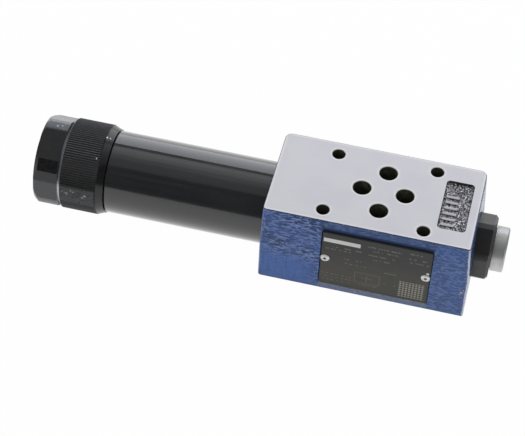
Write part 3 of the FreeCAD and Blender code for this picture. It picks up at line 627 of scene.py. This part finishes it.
def cap_finish(look):
    """Knurled cap: black with rubbed knurl crests, lighter near the top and bottom as a painted highlight, a
    grey upper corner of the hexagon, a painted highlight on its top flat, a painted floor reflection on its
    lower part, a painted highlight on the cone by the knurl, and nicks.
    """
    coat = Coat("black_anodised_cap")
    radius = coat.radius()
    grain = coat.grain(1.4)
    coat.start(coat.ramp(grain, 0.35, 0.65), scaled(look.anodised, 0.4), scaled(look.anodised, 0.65))

    on_knurl = coat.band("X", *KNURL)
    crest = coat.times(coat.along(radius, 18.62, 18.83), on_knurl)
    # The knurl's crests are lighter near the top and bottom of the cap, a painted highlight, and in rubbed
    # patches, which are wear.
    ends = coat.largest(coat.along("Z", 22, 10), coat.along("Z", 34, 37.5))
    lightened = coat.maths("MULTIPLY_ADD", ends, 0.2, 0.01)
    lightened = coat.maths("MULTIPLY_ADD", coat.rubbed(2.4, 0.45), 0.06, lightened)
    coat.over(coat.times(crest, lightened), look.lightened)
    low_rub = coat.times(coat.rubbed(0.7, 0.75), coat.along("Z", 26, 24))
    low_rub = coat.times(low_rub, coat.times(on_knurl, coat.along("Z", 15, 18, 0.0, 0.13)))
    coat.over(low_rub, linear(205, 207, 209))

    hexagon = coat.times(coat.along("X", *HEXAGON_END, 1.0, 0.0), coat.along(radius, 16.1, 16.4))
    corner = coat.times(hexagon, coat.along(radius, 18.5, 18.8))
    upper = coat.times(corner, coat.along("Z", 36.0, 36.8))
    coat.over(upper, linear(84, 91, 94), 0.85)
    coat.over(coat.times(upper, coat.times(coat.rubbed(0.9, 0.3), 0.7)), linear(178, 186, 188))
    # Painted highlight on the hexagon's top flat.
    top_flat_highlight = coat.times(hexagon, coat.along("Y", 3.5, 4.1), coat.along("Z", 30.0, 31.2))
    coat.over(top_flat_highlight, linear(176, 178, 180), 0.46)
    # Painted reflection of the floor on the hexagon's lower part.
    coat.over(coat.times(hexagon, coat.along("Z", 25.0, 23.5, 0.0, 0.2)), linear(150, 152, 156))

    # Painted highlight on the cone beside the knurl: bright on its lower side, grey at the top and the very
    # bottom.
    cone_highlight = coat.mix(coat.along("Z", 27, 23), linear(112, 114, 118), linear(228, 230, 231))
    cone_highlight = coat.mix(coat.along("Z", 15, 11, 0.0, 0.6), cone_highlight, linear(150, 152, 154))
    coat.over(coat.times(coat.band("X", *CONE), coat.along(radius, 17.5, 17.7)), cone_highlight)
    coat.over(coat.rubbed(0.8, 0.1), linear(150, 152, 154), 0.15)
    nicks = (
        (-113.48, 0.68, 38.52, 0.5, 1.0),
        (-112.36, 0.94, 37.9, 0.42, 0.9),
        (-115.1, -9.55, 36.2, 0.42, 0.9),
        (-134.67, 1.49, 38.79, 0.35, 0.9),
        (-132.79, 2.06, 38.74, 0.3, 0.7),
        (-117.87, -18.73, 22.1, 0.7, 0.4),
        (-118.85, -18.83, 20.9, 0.55, 0.5),
        (-122.74, -18.61, 23.0, 0.4, 0.45),
        (-123.72, -18.5, 23.62, 0.45, 0.45),
        (-125.66, -18.75, 21.93, 0.8, 0.28),
        (-127.3, -18.8, 22.6, 0.5, 0.35),
        (-132.5, -18.1, 24.9, 0.45, 0.25),
    )
    coat.spots(nicks, 0.45, linear(238, 240, 242))

    bevel = coat.along("X", -114.15, -114.05, 0.0, 0.08)
    rough = coat.maths("MULTIPLY_ADD", upper, 0.2, coat.spread(grain, 0.26, 0.36))
    rough = coat.less(coat.maths("MULTIPLY_ADD", on_knurl, 0.2, rough), bevel)
    gloss = {"Specular_IOR_Level": 0.45, "Coat_Weight": 0.12, "Coat_Roughness": 0.2}
    return coat.done(rough, coat.lines(0.3), bump=0.08, depth=0.02, **gloss)


def oxide_finish(look):
    """Black oxide on the end plug: oily dark steel with faintly bare corners."""
    coat = Coat("black_oxide")
    cloud = coat.grain(4)
    coat.start(coat.spread(cloud), look.oxide, scaled(look.oxide, 1.3))
    bare = coat.maths("MULTIPLY_ADD", coat.rubbed(0.9, 0.3), 0.15, 0.06)
    coat.over(coat.times(coat.along(coat.radius(), 12.9, 13.2), bare), look.lightened)
    coat.over(coat.along("X", 46.75, 46.95, 0.0, 0.16), look.lightened)
    return coat.done(coat.spread(cloud, 0.26, 0.36), coat.lines(0.25), bump=0.06, depth=0.02)


def zinc_finish():
    """Satin zinc on the gauge port plug: turned rings, a few dull spots, and painted shade on its upper part.
    """
    coat = Coat("bright_zinc")
    lines = coat.lines(0.3)
    cloud = coat.grain(2.5)
    coat.start(coat.spread(lines), linear(196, 197, 196), linear(220, 221, 219))
    # Painted shade: darker on the plug's upper part.
    coat.over(coat.along("Z", 14, 28, 0.0, 0.75), linear(160, 161, 160))
    coat.over(coat.ramp(cloud, 0.55, 0.72, 0.0, 0.5), linear(158, 160, 160))
    return coat.done(coat.spread(cloud, 0.36, 0.46), lines, bump=0.2, depth=0.03, Metallic=0.7)


# The plate's print, each field from X to X and from Z to Z in millimetres
DASH_ROWS = (
    (0.0, 13.5, 29.6, 30.4),
    (1.0, 12.5, 27.6, 28.3),
    (16.2, 22.8, 30.4, 31.2),
    (-14.0, -1.0, 25.6, 26.3),
    (1.5, 9.4, 22.4, 23.1),
    (16.8, 24.2, 27.4, 28.1),
    (-9.5, -2.0, 19.6, 20.2),
    (-18.0, -5.5, 8.9, 9.4),
    (-18.0, -5.5, 7.2, 7.6),
    (-3.0, 5.5, 6.1, 6.6),
    (-17.0, -6.5, 24.1, 24.7),
    (0.5, 11.0, 24.9, 25.5),
    (17.2, 25.0, 25.4, 26.0),
    (-9.0, 0.5, 17.0, 17.5),
    (7.5, 12.5, 16.0, 16.5),
    (-17.0, -6.0, 5.2, 5.7),
    (7.2, 12.8, 9.2, 9.7),
)
RULE = (-17.9, -3.0, 28.2, 30.4)
FRAME_OUTSIDE, FRAME_INSIDE = (-4.2, 6.2, 7.4, 13.4), (-3.95, 5.95, 7.65, 13.15)
CROSS = (0.6, 0.9, 8.6, 12.2), (-1.4, 3.2, 10.3, 10.55)
DOT_FIELD = (13.9, 24.6, 4.0, 13.4)


def plate_finish(look):
    """Dark sheet with generic print: a plain pale rule, rows of faint dashes, a frame and a field of dots,
    and a painted shadow along its top edge.
    """
    coat = Coat("nameplate_sheet")
    grain = coat.grain(0.5)
    coat.start(coat.spread(coat.grain(7)), look.sheet, linear(96, 94, 88))
    coat.over(coat.along("Z", 8, 30, 0.0, 0.85), linear(74, 75, 76))

    def field(x0, x1, z0, z1):
        return coat.box(((x0 + x1) / 2, 0, (z0 + z1) / 2), ((x1 - x0) / 2, 1000.0, (z1 - z0) / 2))

    row_place = coat.vector("MULTIPLY", coat.place, (1.0, 0.0, 0.35))
    dashes = coat.ramp(coat.noise(row_place, 950.0, 0.0), 0.46, 0.52)
    for row in DASH_ROWS:
        coat.over(coat.times(field(*row), dashes), look.print_faint, 0.75)
    # Painted shadow along the plate's top edge, under the recess's upper lip.
    coat.over(coat.along("Z", 32.8, 33.8), linear(9, 12, 22))
    frame_line = coat.maths("SUBTRACT", field(*FRAME_OUTSIDE), field(*FRAME_INSIDE), clamp=True)
    cross = coat.maths("ADD", field(*CROSS[0]), field(*CROSS[1]), clamp=True)
    coat.over(coat.largest(frame_line, cross), look.print_faint, 0.8)
    coat.over(field(*RULE), look.print_pale, 0.9)
    waves = coat.vector("MULTIPLY", coat.place, (math.tau / DOT_PITCH,) * 3)
    waves = coat.axes(coat.vector("SINE", waves))
    dots = coat.ramp(coat.maths("ADD", waves["X"], waves["Z"]), -0.3, 0.5)
    dots = coat.times(field(*DOT_FIELD), dots)
    coat.over(coat.times(dots, coat.spread(grain, 0.7, 1.0)), linear(172, 169, 160))
    coat.spots([(24.9, -21.45, 20.9, 0.75, 1.0)], 0.3, look.print_pale)
    return coat.done(coat.spread(grain, 0.42, 0.52), grain, bump=0.1, depth=0.02, Specular_IOR_Level=0.1)


def rivet_finish(look):
    """Bright rivet with painted shade in its hollow."""
    coat = Coat("rivet_bright")
    cloud = coat.grain(0.8)
    coat.start(coat.ramp(cloud, 0.4, 0.7, 0.0, 0.5), look.rivet, linear(190, 190, 190))
    # Painted shade in the rivet's hollow.
    coat.over(coat.along("Y", -21.7, -21.5), linear(36, 36, 34))
    return coat.done(coat.spread(cloud, 0.3, 0.45), cloud, bump=0.2, Metallic=0.35)


def rubber_finish():
    """Moulded seal rubber with a faint bloom."""
    coat = Coat("seal_rubber")
    bloom = coat.grain(1.2)
    coat.start(coat.ramp(bloom, 0.4, 0.75), linear(22, 22, 23), linear(48, 48, 50))
    return coat.done(coat.spread(bloom, 0.5, 0.7), bloom, bump=0.15, depth=0.02)


def steel_finish():
    """Ground inner steel parts under a film of oil."""
    coat = Coat("ground_steel")
    lines = coat.lines(0.15)
    film = coat.grain(3)
    coat.start(coat.spread(lines), linear(168, 168, 166), linear(198, 198, 196))
    coat.over(coat.ramp(film, 0.5, 0.75, 0.0, 0.4), linear(142, 136, 120))
    return coat.done(coat.spread(film, 0.2, 0.32), lines, bump=0.1, depth=0.01, Metallic=0.95)


def spring_finish():
    """Shot peened spring wire: dull dark steel covered in tiny dents."""
    coat = Coat("peened_wire")
    dents = coat.grain(0.25)
    coat.start(coat.spread(dents), linear(92, 92, 94), linear(128, 128, 130))
    coat.over(coat.ramp(coat.grain(4), 0.45, 0.7, 0.0, 0.5), linear(70, 66, 62))
    return coat.done(coat.spread(dents, 0.4, 0.55), dents, bump=0.5, depth=0.03, Metallic=0.8)


# Meshes


def make_piece(bm, name, body, materials, smooth_angle=40.0):
    """A finished piece from a bmesh, at the origin, riding on a CAD body."""
    mesh = bpy.data.meshes.new(name)
    bm.to_mesh(mesh)
    bm.free()
    stale = mesh.attributes.get("custom_normal")
    if stale:
        mesh.attributes.remove(stale)
    for material in materials:
        mesh.materials.append(material)
    mesh.polygons.foreach_set("use_smooth", [True] * len(mesh.polygons))
    mesh.set_sharp_from_angle(angle=math.radians(smooth_angle))
    piece = bpy.data.objects.new(name, mesh)
    bpy.context.scene.collection.objects.link(piece)
    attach(piece, body)
    return piece


def joined_copy(node):
    """The CAD node's mesh with its loose triangles joined and its flats made whole."""
    bm = bmesh.new()
    bm.from_mesh(frame["nodes"][node].data)
    bmesh.ops.remove_doubles(bm, verts=bm.verts, dist=JOIN_DISTANCE)
    bmesh.ops.dissolve_limit(
        bm, angle_limit=math.radians(0.1), use_dissolve_boundaries=False, verts=bm.verts, edges=bm.edges
    )
    for face in bm.faces:
        face.material_index = 0
    return bm


def edges_at(verts):
    """The edges at some vertices, each once and always in one order."""
    return list(dict.fromkeys(edge for vert in verts for edge in vert.link_edges))


def keep_flats(piece):
    """Keeps the flat faces beside small bevels flat in their shading."""
    piece.modifiers.new("flat faces stay flat", "WEIGHTED_NORMAL").keep_sharp = True


def dress(node, material):
    """Gives a CAD node its finish."""
    slots = frame["nodes"][node].data.materials
    slots.clear()
    slots.append(material)


# The block's faces

PAINT, GROUND, CAST, BORE, EDGE, RECESS = range(6)


def on_front(face):
    return face.normal.y < -0.9 and face.calc_center_median().y < -21.2 * MM


def split_front(bm):
    """Cuts the front side along a thin strip over the plate's recess, where painted shade darkens the paint.
    """
    cuts = (
        (mm(0, 0, STRIP_TOP), (0, 0, 1)),
        (mm(PLATE_X - STRIP_HALF, 0, 0), (1, 0, 0)),
        (mm(PLATE_X + STRIP_HALF, 0, 0), (1, 0, 0)),
    )
    for point, normal in cuts:
        faces = [face for face in bm.faces if on_front(face)]
        parts = dict.fromkeys(part for face in faces for part in (*face.verts, *face.edges, face))
        bmesh.ops.bisect_plane(bm, geom=list(parts), dist=0.001 * MM, plane_co=point, plane_no=normal)
    bm.normal_update()


def face_finish(face):
    """Which finish a face of the block has, by where it lies, within limits in millimetres, and looks."""
    centre, normal = face.calc_center_median(), face.normal
    x, y, z = centre / MM
    if z > 39.7 or z < 0.3:
        return GROUND
    pocket = (centre - POCKET_MIDDLE) / MM
    half = POCKET_HALF / MM
    if abs(pocket.x) < half.x + 0.1 and abs(pocket.y) < half.y + 0.1 and centre.z > POCKET_FLOOR - 0.1 * MM:
        return CAST
    seat_radius = PLUG_SEAT if x > 0 else HOUSING_SEAT
    on_seat_wall = abs(math.hypot(y, z - BORE_Z / MM) - seat_radius) < 0.15 and abs(normal.x) < 0.5
    on_seat_floor = abs(normal.x) > 0.9999 and 43.0 < abs(x) < 43.4 or normal.x > 0.999 and 40.0 < x < 40.5
    if on_seat_wall or on_seat_floor:
        return BORE
    from_plate = abs(x - PLATE_X)
    on_recess_floor = -20.75 < y < -20.55 and normal.y < -0.9
    in_recess = -22.05 < y < -20.6 and from_plate < RECESS_HALF and RECESS_BOTTOM < z < RECESS_TOP
    over_recess = on_front(face) and from_plate < STRIP_HALF and 34.6 < z < STRIP_TOP
    if on_recess_floor or in_recess and abs(normal.y) < 0.5 or over_recess:
        return RECESS
    end = x > 40.0 and normal.x > 0.5 or x < -43.2 and normal.x < -0.5
    front = y < -21.25 and (normal.y < -0.3 or abs(x) < 40)
    back = y > 21.7 and normal.y > 0.3
    corner = abs(y) > 19 and (x < -40.9 or x > 38.4)
    return PAINT if end or front or back or corner else BORE


def block_outline(bm):
    """The edges between a port face and the painted sides."""
    return [e for e in bm.edges if {face.material_index for face in e.link_faces} == {PAINT, GROUND}]


class VALVE_OT_dress_block(bpy.types.Operator):
    """Makes the painted block with its ground faces, cast pocket and machined holes"""

    bl_idname = "valve.dress_block"
    bl_label = "Dress Block"

    def execute(self, context):
        look = context.scene.valve_block
        bm = joined_copy("valve_body")
        bm.normal_update()
        split_front(bm)
        for face in bm.faces:
            face.material_index = face_finish(face)
        outline = block_outline(bm)
        if not outline:
            raise RuntimeError("the block has no outline to break")
        made = bmesh.ops.bevel(
            bm, geom=outline, offset=look.edge_bevel, segments=2, affect="EDGES", profile=0.5, material=-1
        )
        for face in made["faces"]:
            face.material_index = EDGE
        materials = [paint_finish(look), ground_finish(look), cast_finish(look), bore_finish()]
        materials += [paint_edge_finish(look), recess_finish(look)]
        piece = make_piece(bm, "painted_block", "valve", materials)
        keep_flats(piece)
        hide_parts("valve_body")
        return {"FINISHED"}


class VALVE_OT_add_cast_bars(bpy.types.Operator):
    """Adds the raised bars that the casting pattern leaves in the pocket"""

    bl_idname = "valve.add_cast_bars"
    bl_label = "Add Cast Bars"

    def execute(self, context):
        look = context.scene.valve_block
        bm = bmesh.new()
        for y in BAR_PLACES:
            size = (BAR_LENGTH * MM, BAR_WIDTH * MM, look.mark_height * 2)
            place = Matrix.Translation((BAR_X * MM, y * MM, POCKET_FLOOR)) @ Matrix.Diagonal((*size, 1.0))
            bar = bmesh.ops.create_cube(bm, size=1.0, matrix=place)
            edges = edges_at(bar["verts"])
            bmesh.ops.bevel(
                bm, geom=edges, offset=0.3 * MM, segments=3, affect="EDGES", profile=0.5, material=-1
            )
        make_piece(bm, "cast_bars", "valve", [bpy.data.materials["cast_skin"]])
        return {"FINISHED"}


class VALVE_OT_dress_housing(bpy.types.Operator):
    """Gives the spring housing its black anodised finish"""

    bl_idname = "valve.dress_housing"
    bl_label = "Dress Spring Housing"

    def execute(self, context):
        dress("spring_housing", tube_finish(context.scene.valve_black))
        return {"FINISHED"}


class VALVE_OT_dress_cap(bpy.types.Operator):
    """Makes the adjusting cap, with its knurl run out to the hexagon and its lip close to the tube"""

    bl_idname = "valve.dress_cap"
    bl_label = "Dress Adjusting Cap"

    def execute(self, context):
        bm = joined_copy("adjusting_cap")
        for low, high, shift in CAP_SHIFTS:
            verts = [vert for vert in bm.verts if low < vert.co.x / MM < high]
            bmesh.ops.translate(bm, verts=verts, vec=mm(shift, 0, 0))
        material = cap_finish(context.scene.valve_black)
        cap = make_piece(bm, "knurled_cap", "cap", [material], smooth_angle=12.0)
        keep_flats(cap)
        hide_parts("adjusting_cap")
        return {"FINISHED"}


class VALVE_OT_dress_end_plugs(bpy.types.Operator):
    """Gives the end plug and the gauge port plug their finishes"""

    bl_idname = "valve.dress_end_plugs"
    bl_label = "Dress End Plugs"

    def execute(self, context):
        dress("end_plug", oxide_finish(context.scene.valve_black))
        dress("gauge_port_plug", zinc_finish())
        return {"FINISHED"}


class VALVE_OT_dress_nameplate(bpy.types.Operator):
    """Gives the nameplate its generic print and the rivets their bright finish"""

    bl_idname = "valve.dress_nameplate"
    bl_label = "Dress Nameplate"

    def execute(self, context):
        look = context.scene.valve_plate
        dress("nameplate", plate_finish(look))
        dress("nameplate_rivets", rivet_finish(look))
        return {"FINISHED"}


def round_ring(low, high):
    """A closed ring of round section that fills a box."""
    half_width = SEAL_WIDTH / 2
    bm = bmesh.new()
    place = Matrix.Translation(((high.x - low.x) / 2 - half_width, 0, 0))
    size = Matrix.Diagonal((half_width, 1, (high.z - low.z) / 2, 1))
    turn = Matrix.Rotation(math.pi / 2, 4, "X")
    section = bmesh.ops.create_circle(
        bm, cap_ends=False, segments=20, radius=1.0, matrix=place @ size @ turn
    )
    bmesh.ops.spin(
        bm, geom=section["verts"] + edges_at(section["verts"]), cent=(0, 0, 0), axis=(0, 0, 1),
        angle=math.tau, steps=64, use_merge=True, use_duplicate=False,
    )
    bmesh.ops.translate(bm, verts=bm.verts, vec=(low + high) / 2)
    bmesh.ops.remove_doubles(bm, verts=bm.verts, dist=JOIN_DISTANCE)
    bmesh.ops.recalc_face_normals(bm, faces=bm.faces)
    return bm


class VALVE_OT_make_face_seals(bpy.types.Operator):
    """Makes the four round face seals, and gives the hidden seals their rubber"""

    bl_idname = "valve.make_face_seals"
    bl_label = "Make Face Seals"

    def execute(self, context):
        rubber = rubber_finish()
        for node, body in ((o["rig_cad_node"], o["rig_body"]) for o in frame["nodes"].values()):
            if node.endswith("_seal") or "o_ring" in node:
                dress(node, rubber)
            if node.startswith("port_o_ring"):
                bm = round_ring(*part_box(node))
                ring = make_piece(bm, "round_" + node, body, [rubber], smooth_angle=80.0)
                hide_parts(node)
        return {"FINISHED"}


STEEL_NODES = (
    "control_spool", "orifice_screw", "spool_spring_seat", "spring_plate", "thrust_ball", "cap_stop_ring",
)


class VALVE_OT_dress_inner_parts(bpy.types.Operator):
    """Gives the steel parts inside and the spring their finishes"""

    bl_idname = "valve.dress_inner_parts"
    bl_label = "Dress Inner Parts"

    def execute(self, context):
        steel = steel_finish()
        for node in STEEL_NODES:
            dress(node, steel)
        dress("main_spring", spring_finish())
        return {"FINISHED"}


# The stage

WHITE, COOL = (1.0, 1.0, 1.0), (0.93, 0.94, 1.0)

# The lamps: name, first and last angle in degrees, radiance, tint, and whether gloss shows them
LAMPS = (
    ("back softbox", 131.0, 178.0, 1.5, COOL, True),
    ("top softbox", 110.0, 122.0, 0.8, COOL, True),
    ("second top softbox", 98.0, 110.0, 0.6, COOL, True),
    ("third top softbox", 85.0, 98.0, 0.34, WHITE, True),
    ("front top softbox", 62.0, 85.0, 0.2, WHITE, True),
    ("front fill", 12.0, 60.0, 0.8, WHITE, False),
)

# Their aim, distance and length in metres, and a lamp's watts per square metre for a radiance of 1
LAMP_AIM = Vector((-0.04, 0.0, BORE_Z))
LAMP_DISTANCE, LAMP_LENGTH = 1.2, 2.4
LAMP_POWER = 4.0

# How far the floor lies under the block in millimetres, how white it is to the rays that see the
# background, and the world's light for all rays but the camera's
FLOOR_DROP = 0.02
FLOOR_WHITE = 0.985
WORLD_LIGHT = 0.1

# The camera: its place in millimetres, and where its right, up and back point
CAMERA_PLACE = (50.232, -504.331, 593.835)
CAMERA_AXES = (
    Vector((0.9722, 0.23115, 0.03732)),
    -Vector((0.19779, -0.72548, -0.65921)),
    -Vector((-0.1253, 0.64827, -0.75103)),
)


def add_softbox(level, name, angle_from, angle_to, radiance, tint, seen_in_gloss):
    """A long lamp along X that fills a band of the sky; angles go from the front horizon over the top."""
    middle = math.radians((angle_from + angle_to) / 2)
    width = 2 * LAMP_DISTANCE * math.tan(math.radians(angle_to - angle_from) / 2)
    lamp = bpy.data.lights.new(name, "AREA")
    lamp.shape = "RECTANGLE"
    lamp.color = tint
    lamp.size, lamp.size_y = LAMP_LENGTH, width
    lamp.energy = level * radiance * LAMP_POWER * LAMP_LENGTH * width
    softbox = bpy.data.objects.new(name, lamp)
    towards = Vector((0, -math.cos(middle), math.sin(middle)))
    softbox.location = LAMP_AIM + towards * LAMP_DISTANCE
    softbox.rotation_euler = (math.pi / 2 - middle, 0, 0)
    softbox.visible_glossy = seen_in_gloss
    bpy.context.scene.collection.objects.link(softbox)


def emptied(holder):
    """The nodes of a new material or world, with none in them."""
    holder.use_nodes = True
    holder.node_tree.nodes.clear()
    return Nodes(holder.node_tree)


def floor_finish(colour):
    """Matt floor that is white to the rays that see the background, and keeps the shadow."""
    material = bpy.data.materials.new("floor_white")
    nodes = emptied(material)
    matt = nodes.add("ShaderNodeBsdfDiffuse", {"Color": (*colour, 1.0)})
    white = nodes.add("ShaderNodeEmission", {"Color": (1, 1, 1, 1), "Strength": 1.0})
    rays = nodes.add("ShaderNodeLightPath").outputs
    seen = nodes.largest(rays["Is Camera Ray"], rays["Is Glossy Ray"], rays["Is Transmission Ray"])
    share = nodes.times(seen, FLOOR_WHITE)
    mixed = nodes.add("ShaderNodeMixShader", {0: share, 1: matt.outputs[0], 2: white.outputs[0]})
    nodes.add("ShaderNodeOutputMaterial", {"Surface": mixed.outputs[0]})
    return material


class VALVE_OT_set_stage(bpy.types.Operator):
    """Makes the floor, the soft lamps, the world and the camera"""

    bl_idname = "valve.set_stage"
    bl_label = "Set Stage"

    def execute(self, context):
        look, scene = context.scene.valve_studio, context.scene
        bm = bmesh.new()
        under = Matrix.Translation(mm(0, 0, -FLOOR_DROP))
        bmesh.ops.create_grid(bm, x_segments=1, y_segments=1, size=look.floor_size, matrix=under)
        mesh = bpy.data.meshes.new("studio_floor")
        bm.to_mesh(mesh)
        bm.free()
        floor = bpy.data.objects.new("studio_floor", mesh)
        scene.collection.objects.link(floor)
        mesh.materials.append(floor_finish(look.floor))

        for lamp in LAMPS:
            add_softbox(look.strength, *lamp)

        scene.world = bpy.data.worlds.new("studio")
        nodes = emptied(scene.world)
        seen = nodes.add("ShaderNodeLightPath").outputs["Is Camera Ray"]
        strength = nodes.maths("MULTIPLY_ADD", seen, 1.0 - WORLD_LIGHT, WORLD_LIGHT)
        sky = nodes.add("ShaderNodeBackground", {"Color": (1, 1, 1, 1), "Strength": strength})
        nodes.add("ShaderNodeOutputWorld", {"Surface": sky.outputs[0]})

        camera = bpy.data.cameras.new("photo_camera")
        camera.lens, camera.sensor_width = look.lens, 36.0
        camera.clip_start, camera.clip_end = 0.01, 20.0
        viewer = bpy.data.objects.new("photo_camera", camera)
        viewer.rotation_mode = "QUATERNION"
        viewer.rotation_quaternion = Matrix(CAMERA_AXES).transposed().to_quaternion()
        viewer.location = mm(*CAMERA_PLACE)
        scene.collection.objects.link(viewer)
        scene.camera = viewer
        scene.view_settings.view_transform = "Standard"
        return {"FINISHED"}


class VALVE_PT_dresser(bpy.types.Panel):
    """Lists the valve's looks and the steps that make them"""

    bl_label = "Sandwich Valve"
    bl_idname = "VALVE_PT_dresser"
    bl_space_type = "VIEW_3D"
    bl_region_type = "UI"
    bl_category = "Valve"

    def draw(self, context):
        for operator in OPERATORS:
            self.layout.operator(operator.bl_idname)
        for pointer in LOOKS:
            box = self.layout.box()
            group = getattr(context.scene, pointer)
            for name in group.bl_rna.properties.keys():
                if name not in ("rna_type", "name"):
                    box.prop(group, name)


LOOKS = {
    "valve_block": BlockLook,
    "valve_black": BlackLook,
    "valve_plate": PlateLook,
    "valve_studio": StudioLook,
}
OPERATORS = (
    VALVE_OT_dress_block,
    VALVE_OT_add_cast_bars,
    VALVE_OT_dress_housing,
    VALVE_OT_dress_cap,
    VALVE_OT_dress_end_plugs,
    VALVE_OT_dress_nameplate,
    VALVE_OT_make_face_seals,
    VALVE_OT_dress_inner_parts,
    VALVE_OT_set_stage,
)
CLASSES = (*LOOKS.values(), *OPERATORS, VALVE_PT_dresser)


def register():
    for item in CLASSES:
        bpy.utils.register_class(item)
    for pointer, look in LOOKS.items():
        setattr(bpy.types.Scene, pointer, PointerProperty(type=look))


def unregister():
    for pointer in LOOKS:
        delattr(bpy.types.Scene, pointer)
    for item in reversed(CLASSES):
        bpy.utils.unregister_class(item)


def main():
    register()
    for build in GROUP_BUILDERS:
        build()
    for operator in OPERATORS:
        group, name = operator.bl_idname.split(".")
        getattr(getattr(bpy.ops, group), name)()


if __name__ == "__main__":
    main()
